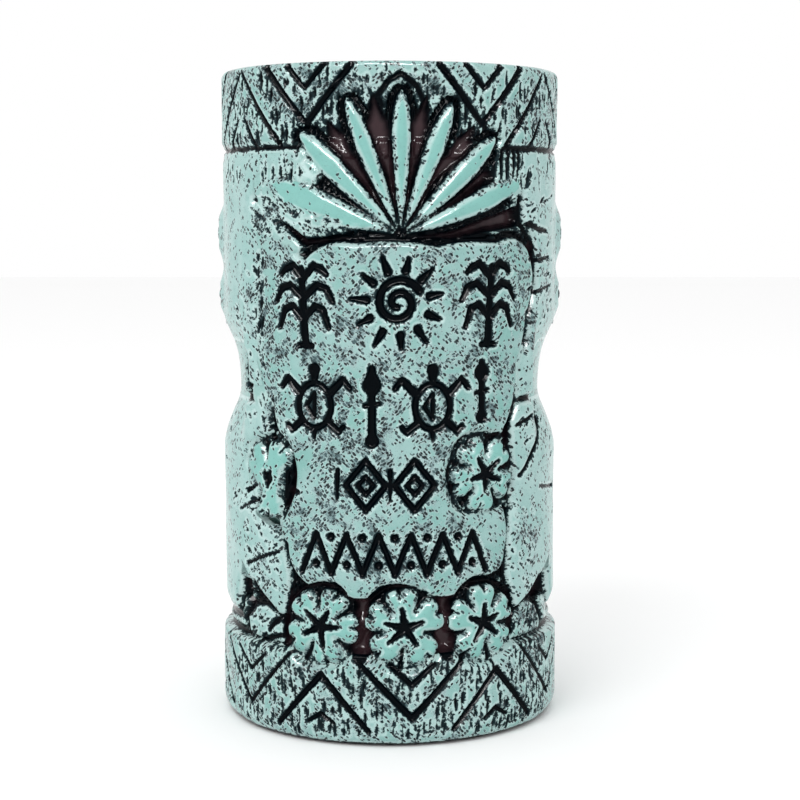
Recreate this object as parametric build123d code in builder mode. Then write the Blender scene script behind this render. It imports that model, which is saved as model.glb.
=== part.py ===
"""Ceramic tiki mug: a slip-cast drinking vessel with carved ornament all round, in millimetres.

The frame has +Z up and its origin at the middle of the base. The tablet side faces -Y and the carved
figure's face looks along +Y. Angles round the mug are in degrees, 0 at the tablet side (-Y) and
positive towards +X. The vessel is one complete cup, and each ornament is a separate solid that sits
face to face on its wall or on a panel.
"""

import os
from math import cos, hypot, radians, sin, tan

from build123d import *

# Overall size
HEIGHT = 158.0
RIM_R = 41.5
BASE_R = 42.0
ORNAMENT_R = 41.0

# Vessel wall, from the foot to the lip
GROUND_R = 37.0
FOOT_R = 38.0
FOOT_TOP = 20.0
COLLAR_R = 38.5
COLLAR_START = 128.0
COLLAR_Z = 138.0
LIP_Z = 154.5
LIP_ROUND = 1.6
CAVITY_R = 33.2
CAVITY_SHOULDER_Z = 126.0
MOUTH_R = 37.0
MOUTH_Z = 139.0
FLOOR_Z = 6.0
FLOOR_ROUND = 6.0
FOOT_RECESS_R = 34.0
FOOT_RECESS_DEPTH = 1.5
GLAZE_THICKNESS = 0.4

# Carved bands, with the strokes of one chevron as (angle from its middle, height) points
RIM_BAND_R = 41.2
RIM_BAND_Z = 139.5
BASE_BAND_TOP = 22.0
BASE_BAND_ROUND = 3.8
BAND_CLEARANCE = 0.7
GROOVE_WIDTH = 1.8
GROOVE_DEPTH = 1.1
CHEVRONS = 6
RIM_CHEVRON_START = -27.7
BASE_CHEVRON_START = 7.5
RIM_STROKES = [
    [(-15.8, 157.0), (0, 144.6), (15.8, 157.0)],
    [(-6.6, 157.0), (0, 152.0), (6.6, 157.0)],
]
BASE_STROKES = [
    [(-19.0, 21.5), (0, 7.0), (19.0, 21.5)],
    [(-7.5, 20.0), (0, 15.0), (7.5, 20.0)],
    [(14.0, 3.8), (30.0, 16.8), (46.0, 3.8)],
]

# Leaf fan: each leaf's lean from the vertical, length and width
FAN_ANGLE = 4.0
FAN_Z = 118.8
FAN_REACH = 37.0
LEAF_ROOT = 1.8
LEAVES = [
    (-70, 36.0, 6.4), (-46.5, 34.5, 5.4), (-22.5, 33.8, 4.4), (0.5, 32.8, 4.6),
    (22.5, 32.6, 4.6), (47.5, 33.4, 5.0), (69, 35.0, 5.4),
]

# Tablet: the corners of its cloud outline, clockwise, and how far the edge swells up to the next one
TABLET_CORNERS = [
    (-47.5, 120.5, 0.5), (-29, 113.2, 1.8), (-11, 117.0, 0.2), (4, 117.4, 0.2), (16, 116.2, 0.7),
    (38.5, 117.0, 4.6), (57.5, 109.5, 0.8), (52.8, 100.0, 0.7), (47.8, 89.0, 1.0), (43, 74.6, -0.3),
    (41.5, 72.4, -0.4), (31, 73.4, -2.2), (20.5, 67.4, -0.9), (20.3, 59.2, -1.8), (30, 54.2, -0.4),
    (41.6, 55.4, 1.0), (42.5, 44.5, 1.6), (36, 39.2, -0.2), (29, 39.2, -0.5), (22.5, 35.4, 0.5),
    (13.5, 35.8, -1.3), (-2.5, 38.2, -0.2), (-7, 35.2, 0.6), (-14, 35.6, -0.4), (-18, 38.5, -0.6),
    (-28, 37.4, 0.6), (-35, 42.5, 0.2), (-36, 46.6, 1.0), (-38.6, 51.6, -0.2), (-35.0, 56.2, -0.4),
    (-32.4, 62.0, -0.3), (-33.2, 67.4, -0.8), (-39.6, 72.8, 0.3), (-42, 79.0, 0.4), (-48.4, 88.5, -0.3),
]
LOBE_STEPS = 6

# Flowers: angle round the mug, height, radius, stretch along the wall and the petals' directions
FLOWERS = [
    (-23.2, 28.0, 9.0, 1.08, (0, 62, 132, 208, 282)), (5.4, 28.2, 9.2, 1.08, (25, 97, 160, 222, 305)),
    (33.2, 28.2, 9.0, 1.06, (22, 90, 160, 238, 322)), (33.5, 63.5, 8.9, 1.02, (42, 122, 196, 262, 336)),
    (-44.0, 61.8, 9.4, 1.0, (62, 142, 266)),
]
FLOWER_R = 41.4
PETAL_STEPS = 6
PETAL_HALF_WIDTH = 38.0
PETAL_SLIT = 0.52
PETAL_NOTCH = 0.10
STAR_DEPTH = 1.5
STAR_REACH = 0.52
STAR_WAIST = 0.17

# The figure's sides: outlines as (angle, height) points, the two sides of the mug a little different
HEAD_LEFT = [
    (-31.8, 137.6), (-36.5, 133.8), (-45, 134.4), (-51, 132.0), (-52.4, 127.0), (-49.4, 121.5),
    (-48.8, 113), (-48.6, 98), (-49.8, 89.5), (-46.5, 83.5), (-55.5, 83.5), (-56.2, 90.5),
    (-62, 93.0), (-126, 93.0), (-126, 137.6),
]
HEAD_RIGHT = [
    (126, 137.6), (126, 93.0), (68, 93.0), (62, 87.0), (58.5, 80.8), (49.4, 80.8), (49.6, 88.5),
    (54.0, 93.5), (55.2, 99.6), (60.0, 106.0), (61.2, 112.0), (58.4, 118.0), (52.0, 122.2), (51.4, 131.0),
    (48.5, 133.8), (42.5, 133.6), (41.5, 137.6),
]
ARM_LEFT = [
    (-44.5, 79.4), (-43.0, 72.5), (-47.5, 71.6), (-55, 69.0), (-58, 64.5), (-55, 58.5), (-50, 52.5),
    (-44, 50.6), (-39.4, 51.0), (-38.0, 45.6), (-122, 45.6), (-122, 79.4),
]
ARM_RIGHT = [
    (122, 79.4), (122, 45.6), (43.9, 45.6), (44.6, 51.5), (44.8, 56.0), (46.8, 61.0), (46.8, 66.0),
    (45.6, 71.0), (45.2, 75.0), (48.8, 79.4),
]
LEG_LEFT = [
    (-38.0, 45.6), (-36.4, 42.5), (-34.8, 39.0), (-36.2, 34.4), (-37.6, 29.6), (-40.0, 29.4), (-50, 34.4),
    (-59.0, 40.2), (-62, 34.0), (-66, 27.0), (-122, 27.0), (-122, 45.6),
]
LEG_RIGHT = [
    (122, 45.6), (122, 27.0), (78, 27.0), (73.8, 33.5), (72.0, 40.2), (56, 32.4), (48.8, 30.0),
    (47.4, 32.6), (44.0, 38.4), (43.9, 45.6),
]
HEEL_LEFT = [(-39.4, 28.3), (-38.2, 22.6), (-57.0, 22.6), (-58.5, 27.0), (-53.0, 30.2), (-46.0, 30.6)]
HEEL_RIGHT = [
    (47.4, 27.6), (49.6, 29.0), (56.0, 31.0), (62.0, 29.4), (66.5, 25.5), (66.5, 22.6), (46.6, 22.6),
]
HEAD_R = 41.0
ARM_R = 41.3
HEEL_R = 40.6
EAR_R = 42.3
EAR_LOBES = [(91.0, 119.0, 13.5, 18.0), (91.8, 103.8, 11.5, 15.0)]

# The figure's front: outlines as (angle either side of where it looks, height)
FIGURE_ANGLE = 180.0
PANEL_R = 39.2
FEATURE_R = 41.4
FACE_OUTLINE = [
    (-51, 137.6), (51, 137.6), (51, 98.0), (40, 87.0), (26, 83.5), (-26, 83.5), (-40, 87.0), (-51, 98.0),
]
TORSO_OUTLINE = [(-55, 79.4), (55, 79.4), (55, 24.5), (-55, 24.5)]
BROW_CORNERS = [
    (-45, 122.0, 0.8), (-43, 130.0, 2.2), (0, 128.6, 2.2), (43, 130.0, 0.8), (45, 122.0, -1.8),
    (6.5, 121.2, 0), (-6.5, 121.2, -1.8),
]
NOSE_CORNERS = [
    (-5, 119.8, 0), (5, 119.8, -0.8), (12.5, 106.5, 1.0), (12.5, 101.0, 0.6), (-12.5, 101.0, 1.0),
    (-12.5, 106.5, -0.8),
]
EYE_CORNERS = [(14.5, 112.0, 4.4), (38.5, 114.5, 4.6)]
MOUTH_CORNERS = [(-31.5, 92.6, 5.2), (31.5, 92.6, 7.0)]
MOUTH_OPENING = [(-27.5, 92.6, 3.0), (27.5, 92.6, 4.6)]
TEETH = 6
TOOTH_WIDTH = 4.6
TOOTH_HEIGHT = 6.0
TOOTH_GAP = 0.5
TOOTH_R = 40.7
HAND_CORNERS = [
    (10, 55.0, 1.2), (9.5, 63.5, 0.8), (26, 66.5, 0.4), (54.5, 67.5, 0), (54.5, 54.5, 0.3),
    (26, 53.0, 0.4),
]
FOOT_CORNERS = [
    (11.5, 25.2, 0), (11.0, 30.5, 1.5), (20, 35.5, -0.8), (30, 38.5, 0.5), (36, 46.5, 1.4),
    (54.5, 46.5, 0), (54.5, 25.2, 0),
]
NAVEL_Z = 43.0
NAVEL_WIDTH = 8.0

# Solids that are lofted outwards start near the mug's axis and end beyond its widest ornament
NEAR = 10.0
FAR = 60.0


def outward_plane(angle, distance=0.0):
    """A plane that looks outwards at angle, with x to the right and y up, at a distance from the axis."""
    a = radians(angle)
    axis_plane = Plane(origin=(0, 0, 0), x_dir=(cos(a), sin(a), 0), z_dir=(sin(a), -cos(a), 0))
    return axis_plane.offset(distance)


def along_wall(length):
    """The angle, in degrees, that a length takes up along the ornaments' outer wall."""
    return length / radians(ORNAMENT_R)


def mirrored(points):
    """The same outline on the other side of the mug."""
    return [(-angle, height) for angle, height in reversed(points)]


def at_figure(points):
    """An outline given from the middle of the figure's front, at its place round the mug."""
    return [(FIGURE_ANGLE + angle, height) for angle, height in points]


def ellipse(angle, height, width, tall, steps=24):
    """Points round an ellipse on the wall."""
    turns = [radians(360 * step / steps) for step in range(steps)]
    return [(angle + along_wall(width / 2 * cos(t)), height + tall / 2 * sin(t)) for t in turns]


def lobed(corners):
    """Points along the swelling edges between corners of (angle, height, swell), taken clockwise."""
    points = []
    for (angle, height, swell), (next_angle, next_height, _) in zip(corners, corners[1:] + corners[:1]):
        across = radians(next_angle - angle) * ORNAMENT_R
        up = next_height - height
        for step in range(LOBE_STEPS if swell else 1):
            share = step / LOBE_STEPS
            bow = 4 * swell * share * (1 - share) / hypot(across, up)
            swung = angle + along_wall(share * across - bow * up)
            points.append((swung, height + share * up + bow * across))
    return points


def outward_prism(points):
    """A solid whose sides run straight out from the mug's axis through an outline of wall points."""
    angles = [angle for angle, _ in points]
    centre = (min(angles) + max(angles)) / 2
    with BuildPart() as prism:
        for distance in (NEAR, FAR):
            flat = [(distance * tan(radians(angle - centre)), height) for angle, height in points]
            with BuildSketch(outward_plane(centre, distance)):
                with BuildLine():
                    Polyline(*flat, close=True)
                make_face()
        loft(ruled=True)
    return prism.part


def outline_piece(points, ring):
    """A raised piece: the part of a ring of clay that lies behind an outline of wall points."""
    with BuildPart() as piece:
        add(outward_prism(points))
        add(ring, mode=Mode.INTERSECT)
    return piece.part


def wall_ring(outer):
    """The clay between the vessel's outer wall and a radius, which the ornaments are cut from."""
    with BuildPart() as ring:
        with BuildSketch(Plane.XZ):
            with BuildLine():
                Polyline(
                    (FOOT_R, 1), (FOOT_R, FOOT_TOP), (GROUND_R, BASE_BAND_TOP), (GROUND_R, COLLAR_START),
                    (COLLAR_R, COLLAR_Z), (COLLAR_R, LIP_Z), (outer, LIP_Z), (outer, 1), close=True,
                )
            make_face()
        revolve(axis=Axis.Z)
    return ring.part


def plain_ring(inner, outer):
    """The clay between two radii, for what sits on a panel."""
    with BuildPart() as ring:
        with BuildSketch(Plane.XY.offset(1)):
            Circle(outer)
            Circle(inner, mode=Mode.SUBTRACT)
        extrude(amount=LIP_Z - 1)
    return ring.part


def chevron_cutter(strokes, start, outer):
    """The grooves of a carved band: the strokes of one chevron, repeated round the mug."""
    with BuildPart() as cutter:
        for number in range(CHEVRONS):
            for stroke in strokes:
                points = [(outer * sin(radians(angle)), height) for angle, height in stroke]
                with BuildSketch(outward_plane(start + number * 360 / CHEVRONS)):
                    with BuildLine() as zigzag:
                        Polyline(*points)
                    trace(zigzag.line, line_width=GROOVE_WIDTH)
                extrude(amount=FAR)
        with BuildSketch(Plane.XY):
            Circle(outer - GROOVE_DEPTH)
        extrude(amount=HEIGHT, mode=Mode.SUBTRACT)
    return cutter.part


def write(piece, name):
    """Labels a finished piece and writes its STEP file."""
    piece.label = name
    export_step(piece, f"parts/{name}.step")


os.makedirs("parts", exist_ok=True)

# --- Vessel: one complete cup with a foot ring, a thin collar and a thick lip ---
with BuildPart() as mug_body:
    with BuildSketch(Plane.XZ) as section:
        with BuildLine():
            Polyline(
                (0, FOOT_RECESS_DEPTH), (FOOT_RECESS_R, FOOT_RECESS_DEPTH), (FOOT_RECESS_R, 0),
                (FOOT_R, 0), (FOOT_R, FOOT_TOP), (GROUND_R, BASE_BAND_TOP), (GROUND_R, COLLAR_START),
                (COLLAR_R, COLLAR_Z), (COLLAR_R, LIP_Z), (RIM_R, LIP_Z), (RIM_R, HEIGHT),
                (MOUTH_R, HEIGHT), (MOUTH_R, MOUTH_Z), (CAVITY_R, CAVITY_SHOULDER_Z),
                (CAVITY_R, FLOOR_Z), (0, FLOOR_Z), close=True,
            )
        make_face()
        fillet(section.vertices().group_by(Axis.Y)[-1], LIP_ROUND)
        outer_vertices = section.vertices().filter_by_position(Axis.X, 30, 34)
        fillet(outer_vertices.filter_by_position(Axis.Y, 5, 7), FLOOR_ROUND)
    revolve(axis=Axis.Z)
write(mug_body.part, "mug_body")

# --- Clear glaze that seals the inside, from the lip down across the floor ---
with BuildPart() as liner_glaze:
    with BuildSketch(Plane.XZ) as skin:
        with BuildLine():
            Polyline(
                (0, FLOOR_Z), (CAVITY_R, FLOOR_Z), (CAVITY_R, CAVITY_SHOULDER_Z), (MOUTH_R, MOUTH_Z),
                (MOUTH_R, HEIGHT - LIP_ROUND), (MOUTH_R - GLAZE_THICKNESS, HEIGHT - LIP_ROUND),
                (MOUTH_R - GLAZE_THICKNESS, MOUTH_Z), (CAVITY_R - GLAZE_THICKNESS, CAVITY_SHOULDER_Z),
                (CAVITY_R - GLAZE_THICKNESS, FLOOR_Z + GLAZE_THICKNESS), (0, FLOOR_Z + GLAZE_THICKNESS),
                close=True,
            )
        make_face()
        outer_vertices = skin.vertices().filter_by_position(Axis.X, 30, 34)
        fillet(outer_vertices.filter_by_position(Axis.Y, 5, 7).sort_by(Axis.Y)[0], FLOOR_ROUND)
        outer_vertices = skin.vertices().filter_by_position(Axis.X, 30, 34)
        upper_corner = outer_vertices.filter_by_position(Axis.Y, 6.2, 7).sort_by(Axis.X)[-1]
        fillet(upper_corner, FLOOR_ROUND - GLAZE_THICKNESS)
    revolve(axis=Axis.Z)
write(liner_glaze.part, "liner_glaze")

# --- Rim band: nested V grooves, cut away behind the leaf fan ---
with BuildPart() as rim_band:
    with BuildSketch(Plane.XY.offset(RIM_BAND_Z)):
        Circle(RIM_BAND_R)
        Circle(COLLAR_R, mode=Mode.SUBTRACT)
    extrude(amount=LIP_Z - RIM_BAND_Z)
    add(outward_prism(ellipse(FAN_ANGLE, FAN_Z, 2 * FAN_REACH, 2 * FAN_REACH, 48)), mode=Mode.SUBTRACT)
    add(chevron_cutter(RIM_STROKES, RIM_CHEVRON_START, RIM_BAND_R), mode=Mode.SUBTRACT)
write(rim_band.part, "rim_band")

# --- Base band: V and peak grooves above a rounded foot, notched round the lower flowers ---
with BuildPart() as base_band:
    with BuildSketch(Plane.XZ) as band_section:
        with BuildLine():
            Polyline(
                (FOOT_R, 0), (BASE_R, 0), (BASE_R, BASE_BAND_TOP), (GROUND_R, BASE_BAND_TOP),
                (FOOT_R, FOOT_TOP), close=True,
            )
        make_face()
        outer_corners = band_section.vertices().group_by(Axis.X)[-1].sort_by(Axis.Y)
        fillet(outer_corners[0], BASE_BAND_ROUND)
        fillet(outer_corners[-1], BASE_BAND_ROUND / 2)
    revolve(axis=Axis.Z)
    for angle, height, radius, stretch, _ in FLOWERS[:3]:
        clearance = 2 * (radius + BAND_CLEARANCE)
        add(outward_prism(ellipse(angle, height, clearance * stretch, clearance)), mode=Mode.SUBTRACT)
    add(chevron_cutter(BASE_STROKES, BASE_CHEVRON_START, BASE_R), mode=Mode.SUBTRACT)
write(base_band.part, "base_band")


# --- Tablet: a plate with a cloud outline between the leaf fan and the lower flowers ---
write(outline_piece(lobed(TABLET_CORNERS), wall_ring(ORNAMENT_R)), "tablet")


# --- Leaf fan: seven long leaves that share one root above the tablet ---
def leaf_outline(lean, length, width):
    """Points round a long leaf, widest two thirds of the way out, leaning from the vertical."""
    half = [(0.18, 0.24), (0.42, 0.40), (0.66, 0.50), (0.86, 0.40), (0.96, 0.20)]
    side = [(width * out, LEAF_ROOT + (length - LEAF_ROOT) * along) for along, out in half]
    shape = [(0, LEAF_ROOT)] + side + [(0, length)] + [(-x, y) for x, y in reversed(side)]
    a = radians(lean)
    return [
        (FAN_ANGLE + along_wall(x * cos(a) + y * sin(a)), FAN_Z - x * sin(a) + y * cos(a))
        for x, y in shape
    ]


for number, (lean, length, width) in enumerate(LEAVES, start=1):
    write(outline_piece(leaf_outline(lean, length, width), wall_ring(ORNAMENT_R)), f"leaf_{number}")


# --- Flowers: notched petals round a sunken star ---
def flower_outline(angle, height, radius, stretch, petals):
    """Points round a flower, petal by petal: a slit between petals and a small notch at each tip."""
    points = []
    for number, direction in enumerate(petals):
        before = (direction - petals[number - 1]) % 360 / 2
        after = (petals[(number + 1) % len(petals)] - direction) % 360 / 2
        for step in range(-PETAL_STEPS, PETAL_STEPS):
            share = step / PETAL_STEPS
            side = min(before if share < 0 else after, PETAL_HALF_WIDTH)
            turn = radians(direction + share * side)
            reach = radius * (1 - PETAL_SLIT * abs(share) ** 6 - (PETAL_NOTCH if step == 0 else 0))
            points.append((angle + along_wall(stretch * reach * cos(turn)), height + reach * sin(turn)))
    return points


def star_outline(angle, height, radius, stretch, petals):
    """Points round a flower's star: a ray along each petal."""
    points = []
    for number, direction in enumerate(petals):
        between = direction + (petals[(number + 1) % len(petals)] - direction) % 360 / 2
        for turn, reach in ((direction, STAR_REACH), (between, STAR_WAIST)):
            across = stretch * radius * reach * cos(radians(turn))
            up = radius * reach * sin(radians(turn))
            points.append((angle + along_wall(across), height + up))
    return points


for number, shape in enumerate(FLOWERS, start=1):
    with BuildPart() as flower:
        add(outline_piece(flower_outline(*shape), wall_ring(FLOWER_R)))
        star_ring = plain_ring(FLOWER_R - STAR_DEPTH, FLOWER_R + 1)
        add(outline_piece(star_outline(*shape), star_ring), mode=Mode.SUBTRACT)
    write(flower.part, f"flower_{number}")

# --- The figure's sides: head, arms, legs and heels on the wall, and the ears on the head ---
SIDE_PIECES = {
    "head_left": (HEAD_LEFT, HEAD_R), "head_right": (HEAD_RIGHT, HEAD_R),
    "arm_left": (ARM_LEFT, ARM_R), "arm_right": (ARM_RIGHT, ARM_R),
    "leg_left": (LEG_LEFT, ARM_R), "leg_right": (LEG_RIGHT, ARM_R),
    "heel_left": (HEEL_LEFT, HEEL_R), "heel_right": (HEEL_RIGHT, HEEL_R),
}
for name, (outline, outer) in SIDE_PIECES.items():
    write(outline_piece(outline, wall_ring(outer)), name)

for side, turn in (("left", -1), ("right", 1)):
    with BuildPart() as ear:
        for angle, height, width, tall in EAR_LOBES:
            add(outline_piece(ellipse(turn * angle, height, width, tall), plain_ring(HEAD_R, EAR_R)))
    write(ear.part, f"ear_{side}")

# --- The figure's front: face and torso panels on the wall ---
write(outline_piece(at_figure(FACE_OUTLINE), wall_ring(PANEL_R)), "face_panel")
write(outline_piece(at_figure(TORSO_OUTLINE), wall_ring(PANEL_R)), "torso")

# --- Features that sit on the panels; left and right are as for the sides ---
feature_ring = plain_ring(PANEL_R, FEATURE_R)
write(outline_piece(at_figure(lobed(BROW_CORNERS)), feature_ring), "brow_ridge")
write(outline_piece(at_figure(lobed(NOSE_CORNERS)), feature_ring), "nose")
write(outline_piece(at_figure(ellipse(0, NAVEL_Z, NAVEL_WIDTH, NAVEL_WIDTH)), feature_ring), "navel")
for name, corners in {"eye": EYE_CORNERS, "hand": HAND_CORNERS, "foot": FOOT_CORNERS}.items():
    write(outline_piece(at_figure(mirrored(lobed(corners))), feature_ring), f"{name}_right")
    write(outline_piece(at_figure(lobed(corners)), feature_ring), f"{name}_left")

with BuildPart() as mouth:
    add(outline_piece(at_figure(lobed(MOUTH_CORNERS)), feature_ring))
    add(outward_prism(at_figure(lobed(MOUTH_OPENING))), mode=Mode.SUBTRACT)
write(mouth.part, "mouth")

# Two rows of teeth meet in the middle of the mouth, and its outline trims them
with BuildPart() as teeth:
    pitch = TOOTH_WIDTH + TOOTH_GAP
    for number in range(TEETH):
        left = along_wall((number - TEETH / 2) * pitch + TOOTH_GAP / 2)
        right = left + along_wall(TOOTH_WIDTH)
        for row in (-1, 1):
            near_z = MOUTH_OPENING[0][1] + row * TOOTH_GAP / 2
            far_z = near_z + row * TOOTH_HEIGHT
            corners = [(left, near_z), (right, near_z), (right, far_z), (left, far_z)]
            add(outline_piece(at_figure(corners), plain_ring(PANEL_R, TOOTH_R)))
    add(outward_prism(at_figure(lobed(MOUTH_OPENING))), mode=Mode.INTERSECT)
write(teeth.part, "teeth")
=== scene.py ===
"""Tiki mug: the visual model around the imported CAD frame.

Everything is worked out on the mug's outer wall, unrolled: s runs round the mug in millimetres and z up.
One field gives the radius of the carved, glazed surface everywhere, and each piece is cut from it along
its own CAD outline, so neighbouring pieces meet as they do on a mug cast in one.
"""
from math import cos, degrees, hypot, pi, radians, sin, tau

import bpy
import numpy as np
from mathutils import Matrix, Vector


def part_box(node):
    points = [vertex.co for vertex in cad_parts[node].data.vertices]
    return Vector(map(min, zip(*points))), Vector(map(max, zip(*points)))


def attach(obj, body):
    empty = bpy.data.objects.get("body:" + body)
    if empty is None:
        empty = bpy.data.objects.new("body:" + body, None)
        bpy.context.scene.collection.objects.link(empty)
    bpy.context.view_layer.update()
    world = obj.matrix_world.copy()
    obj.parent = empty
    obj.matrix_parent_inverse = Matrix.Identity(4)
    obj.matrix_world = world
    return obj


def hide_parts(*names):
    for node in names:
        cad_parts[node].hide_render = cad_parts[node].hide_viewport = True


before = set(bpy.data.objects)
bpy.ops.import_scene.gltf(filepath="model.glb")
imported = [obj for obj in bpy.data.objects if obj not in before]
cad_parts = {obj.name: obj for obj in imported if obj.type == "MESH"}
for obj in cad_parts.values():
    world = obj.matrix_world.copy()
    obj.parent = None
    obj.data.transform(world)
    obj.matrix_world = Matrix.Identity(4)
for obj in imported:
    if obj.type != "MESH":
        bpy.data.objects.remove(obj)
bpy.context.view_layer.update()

# ---------------- sizes, in millimetres and degrees
R = 41.0                    # the radius that the wall is unrolled at
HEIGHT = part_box("mug_body")[1].z * 1000
RIM_LOW, RIM_HIGH = (c.z * 1000 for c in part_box("rim_band"))
BASE_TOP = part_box("base_band")[1].z * 1000

# Radii of the wall behind the ornament, and the heights where it changes
GROUND_R = 37.0
COLLAR_R, COLLAR_START, COLLAR_Z = 38.5, 128.0, 138.0
FOOT_R, FOOT_TOP = 38.0, 20.0
SUNK_R = 38.4               # the floors of the grooves, and of the panels' edges

# Radii of the raised pieces' tops
PANEL_R, LIMB_R, RIM_R, FLOWER_R, BASE_R = 39.2, 41.2, 41.3, 41.3, 41.9
OUTLINE_LEVEL = 39.3        # where a raised piece's shoulder meets the valley
PLATE_R = 40.3              # the wall between pieces, beyond the groove round each
MERGED_R = 40.8             # where a piece runs into its neighbour
GROOVE = 1.3                # width of the groove round a raised piece
TRIM_GROOVE = 0.75          # half width of the finer groove round a feature of the figure
CUT_DEPTH = 0.95            # depth of the carved strokes

# The cup itself
LIP_ROUND, FOOT_EDGE = 1.6, 4.2
CAVITY_R, MOUTH_R = 33.2, 37.0
CAVITY_SHOULDER_Z, MOUTH_Z = 126.0, 139.0
FLOOR_Z, FLOOR_ROUND = 6.0, 6.0
GLAZE = 0.4
FOOT_RECESS_R, FOOT_RECESS_Z = 34.0, 1.5

# The ornament
FAN_ANGLE, FAN_Z, FAN_REACH = 4.0, 118.8, 37.0
FIGURE_ANGLE = 180.0
TABLET_SIDE = 86.0          # the tablet's side of the mug reaches this far round, and the figure's begins
CHEVRONS = 6
RIM_CHEVRON_START, BASE_CHEVRON_START = -27.7, 7.5
LEAVES = [f"leaf_{n}" for n in range(1, 8)]
# Flowers: angle, height, radius, stretch along the wall and the petals' directions
FLOWERS = {
    "flower_1": (-23.2, 28.0, 9.0, 1.08, (0, 62, 132, 208, 282)),
    "flower_2": (5.4, 28.2, 9.2, 1.08, (25, 97, 160, 222, 305)),
    "flower_3": (33.2, 28.2, 9.0, 1.06, (22, 90, 160, 238, 322)),
    "flower_4": (33.5, 63.5, 8.9, 1.02, (42, 122, 196, 262, 336)),
    "flower_5": (-44.0, 61.8, 9.4, 1.0, (62, 142, 266)),
}
LOWER_ROW = ("flower_1", "flower_2", "flower_3")
BAND_CLEARANCE = 0.7        # the base band's notches are this much larger than the flowers in them

# The field's grid over the unrolled wall
STEP = 0.25
COLUMNS = int(round(tau * R / STEP))
ROWS = int(round(HEIGHT / STEP)) + 1
THETA = np.linspace(-180, 180, COLUMNS, endpoint=False)
UP = np.linspace(0, HEIGHT, ROWS)
T_ALL = np.broadcast_to(THETA, (ROWS, COLUMNS))
Z_ALL = np.broadcast_to(UP[:, None], (ROWS, COLUMNS))
NONE = -3.0                 # a field of distances has this value far outside its strokes
REACH = 7.0                 # a node's outline is worked out this far round it
rng = np.random.default_rng(7)


def turned(theta, middle):
    """Angles measured from middle, between -180 and 180."""
    return (theta - middle + 180) % 360 - 180


def arc(angle):
    """Length round the wall of an angle."""
    return R * radians(angle)


def spread(angle, height, theta, z, across=1.0, tall=1.0):
    """Distance along the wall from a spot, measured in units of across and tall."""
    return np.hypot(arc(1) * turned(theta, angle) / across, (z - height) / tall)


def smooth(low, high, value):
    """0 below low, 1 above high, and a smooth rise between."""
    t = np.clip((value - low) / (high - low), 0, 1)
    return t * t * (3 - 2 * t)


def crown(depth, width):
    """A rounded shoulder: 0 at an outline, rising to 1 at width inside it."""
    t = np.clip(depth / width, 0, 1)
    return np.sqrt(1 - (1 - t) ** 2)


def part_way(foot, top, share):
    """A level that share of the way from foot to top."""
    return foot + (top - foot) * share


# ---------------- outlines, read from the CAD nodes
def outline_loops(node):
    """The middle angle of a CAD node and its outline, as loops of (s from that angle, z)."""
    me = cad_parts[node].data
    co = np.empty(len(me.vertices) * 3)
    me.vertices.foreach_get("co", co)
    co = co.reshape(-1, 3) * 1000
    keys, index = np.unique(co.round(3), axis=0, return_inverse=True)
    index = index.ravel()
    me.calc_loop_triangles()
    tri = np.empty(len(me.loop_triangles) * 3, int)
    me.loop_triangles.foreach_get("vertices", tri)
    tri = index[tri].reshape(-1, 3)
    a, b, c = keys[tri[:, 0]], keys[tri[:, 1]], keys[tri[:, 2]]
    normal = np.cross(b - a, c - a)
    centre = (a + b + c) / 3
    radial = centre * (1, 1, 0)
    lengths = np.linalg.norm(normal, axis=1) * np.linalg.norm(radial, axis=1)
    facing = (normal * radial).sum(1) / (lengths + 1e-12)
    tri = tri[facing < -0.5]
    edges = dict.fromkeys((p, q) for x, y, z in tri for p, q in ((x, y), (y, z), (z, x)))
    following = {p: q for p, q in edges if (q, p) not in edges}
    used = keys[sorted(following)]
    middle = degrees(np.arctan2(used[:, 0].mean(), -used[:, 1].mean()))
    loops = []
    while following:
        start, here = following.popitem()
        loop = [start]
        while here != start and here in following:
            loop.append(here)
            here = following.pop(here)
        p = keys[loop]
        s = arc(1) * turned(np.degrees(np.arctan2(p[:, 0], -p[:, 1])), middle)
        if len(loop) > 2:
            loops.append(np.stack([s, p[:, 2]], 1))
    return middle, loops


def loops_distance(loops, s, z):
    """Distance from points to an outline, positive inside it."""
    nearest = np.full(s.shape, 1e9)
    inside = np.zeros(s.shape, bool)
    for loop in loops:
        for (x0, y0), (x1, y1) in zip(loop, np.roll(loop, -1, axis=0)):
            ex, ey = x1 - x0, y1 - y0
            wx, wy = s - x0, z - y0
            t = np.clip((wx * ex + wy * ey) / (ex * ex + ey * ey + 1e-12), 0, 1)
            np.minimum(nearest, (wx - ex * t) ** 2 + (wy - ey * t) ** 2, out=nearest)
            if y0 != y1:
                inside ^= ((y0 > z) != (y1 > z)) & (wx < ex * wy / ey)
    return np.where(inside, 1, -1) * np.sqrt(nearest)


OUTLINES = {name: outline_loops(name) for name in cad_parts
            if name not in ("mug_body", "liner_glaze", "rim_band", "base_band")}


def window(middle, half_width, low, high):
    """Field columns and rows within half_width of an angle and between two heights."""
    away = np.abs(turned(THETA, middle)) * arc(1)
    columns = np.nonzero(away < half_width)[0]
    rows = np.nonzero((UP > low) & (UP < high))[0]
    return np.ix_(rows, columns)


def local_grid(middle, at):
    """The s and z of a window's points, with s measured from middle."""
    s = arc(1) * turned(THETA[at[1].ravel()], middle)
    shape = (len(at[0]), len(s))
    return np.broadcast_to(s, shape), np.broadcast_to(UP[at[0].ravel()][:, None], shape)


def node_field(node):
    """The window of a node's surroundings, and the distance inside its outline there."""
    middle, loops = OUTLINES[node]
    points = np.concatenate(loops)
    half = np.abs(points[:, 0]).max() + REACH
    at = window(middle, half, points[:, 1].min() - REACH, points[:, 1].max() + REACH)
    s, z = local_grid(middle, at)
    return at, loops_distance(loops, s, z)


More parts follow.
